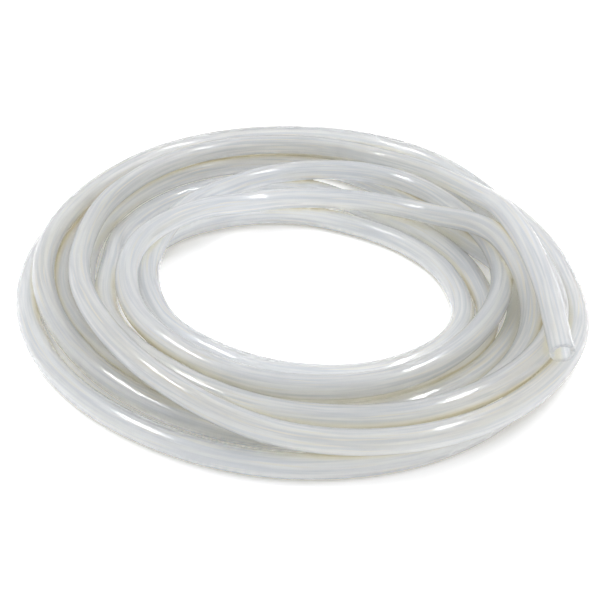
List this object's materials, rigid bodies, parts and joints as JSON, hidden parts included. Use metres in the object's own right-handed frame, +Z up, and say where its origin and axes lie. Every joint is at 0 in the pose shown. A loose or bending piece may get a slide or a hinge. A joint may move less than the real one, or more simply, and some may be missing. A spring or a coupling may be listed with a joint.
{
  "type": "silicone tubing coil",
  "caption": "Loose flat coil of pale translucent silicone tubing with two open square-cut ends, for carrying liquid or air between lab fittings.",
  "frame": {"origin": "on the bench, under the middle of the coil's outline", "axes": "+Z up from the bench, -Y towards the side where the upper cut end points, +X to the right seen from there"},
  "size_m": [0.2459, 0.252, 0.0392],
  "materials": {
    "silicone": "milky translucent silicone, smooth satin gloss"
  },
  "bodies": {
    "root": {"tubing": "silicone"}
  },
  "joints": []
}
